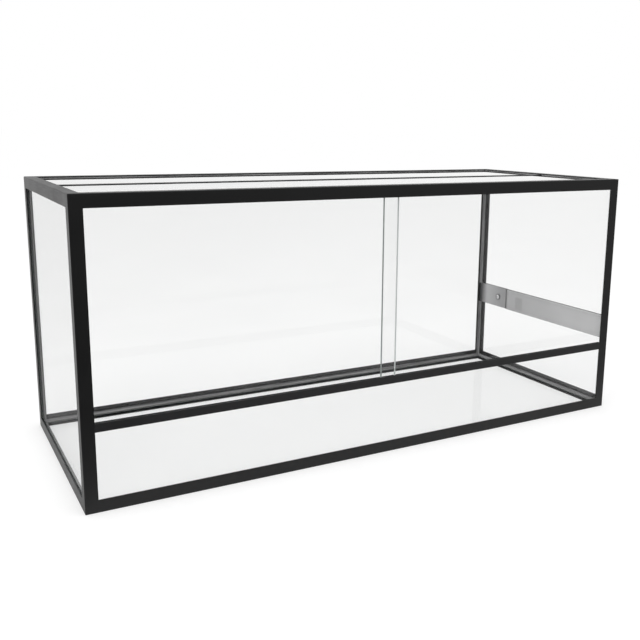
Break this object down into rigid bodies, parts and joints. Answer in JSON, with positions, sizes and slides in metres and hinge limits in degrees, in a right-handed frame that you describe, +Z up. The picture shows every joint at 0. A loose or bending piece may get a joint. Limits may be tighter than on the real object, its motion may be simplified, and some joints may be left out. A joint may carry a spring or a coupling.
{
  "type": "glass terrarium",
  "caption": "Glass terrarium in a black edge frame, with sliding glass front doors, a low front pane and a perforated vent strip in its right side.",
  "frame": {"origin": "middle of the outline, on the surface that the bottom rails stand on", "axes": "+X to the right along the length, +Y to the back away from the doors, +Z up"},
  "size_m": [1, 0.4, 0.45],
  "materials": {
    "frame": "satin",
    "track": "satin",
    "glass": "polished",
    "door_glass": "polished",
    "silicone": "gloss",
    "seam": "satin",
    "vent": "satin",
    "screw": "satin"
  },
  "bodies": {
    "tank": {"bottom_front_rail": "frame", "bottom_rear_rail": "frame", "bottom_left_rail": "frame", "bottom_right_rail": "frame", "top_front_rail": "frame", "top_rear_rail": "frame", "top_left_rail": "frame", "top_right_rail": "frame", "front_left_post": "frame", "front_right_post": "frame", "rear_left_post": "frame", "rear_right_post": "frame", "front_mid_rail": "frame", "top_middle_bar": "frame", "bottom_pane": "glass", "back_pane": "glass", "left_pane": "glass", "right_lower_pane": "glass", "right_upper_pane": "glass", "front_lower_pane": "glass", "top_front_pane": "glass", "top_rear_pane": "glass", "lower_door_track": "track", "upper_door_track": "track", "vent_strip": "vent", "outlet_cover": "vent", "outlet_clamp_plate": "vent", "outlet_washer": "screw", "outlet_screw": "screw", "vent_upper_seam": "seam", "vent_lower_seam": "seam", "bottom_front_bead": "silicone", "bottom_rear_bead": "silicone", "bottom_left_bead": "silicone", "bottom_right_bead": "silicone", "front_left_bead": "silicone", "front_right_bead": "silicone", "rear_left_bead": "silicone", "rear_right_lower_bead": "silicone", "rear_right_upper_bead": "silicone", "top_rear_bead": "silicone", "top_left_bead": "silicone", "top_right_bead": "silicone", "top_front_bed": "silicone", "top_rear_bed": "silicone", "top_left_bed": "silicone", "top_right_bed": "silicone"},
    "left_door": {"left_door": "door_glass"},
    "right_door": {"right_door": "door_glass"}
  },
  "joints": [
    {"name": "left_door_slide", "type": "slide", "parent": "tank", "child": "left_door", "axis": [1, 0, 0], "range_m": [0, 0.476]},
    {"name": "right_door_slide", "type": "slide", "parent": "tank", "child": "right_door", "axis": [-1, 0, 0], "range_m": [0, 0.477]}
  ]
}
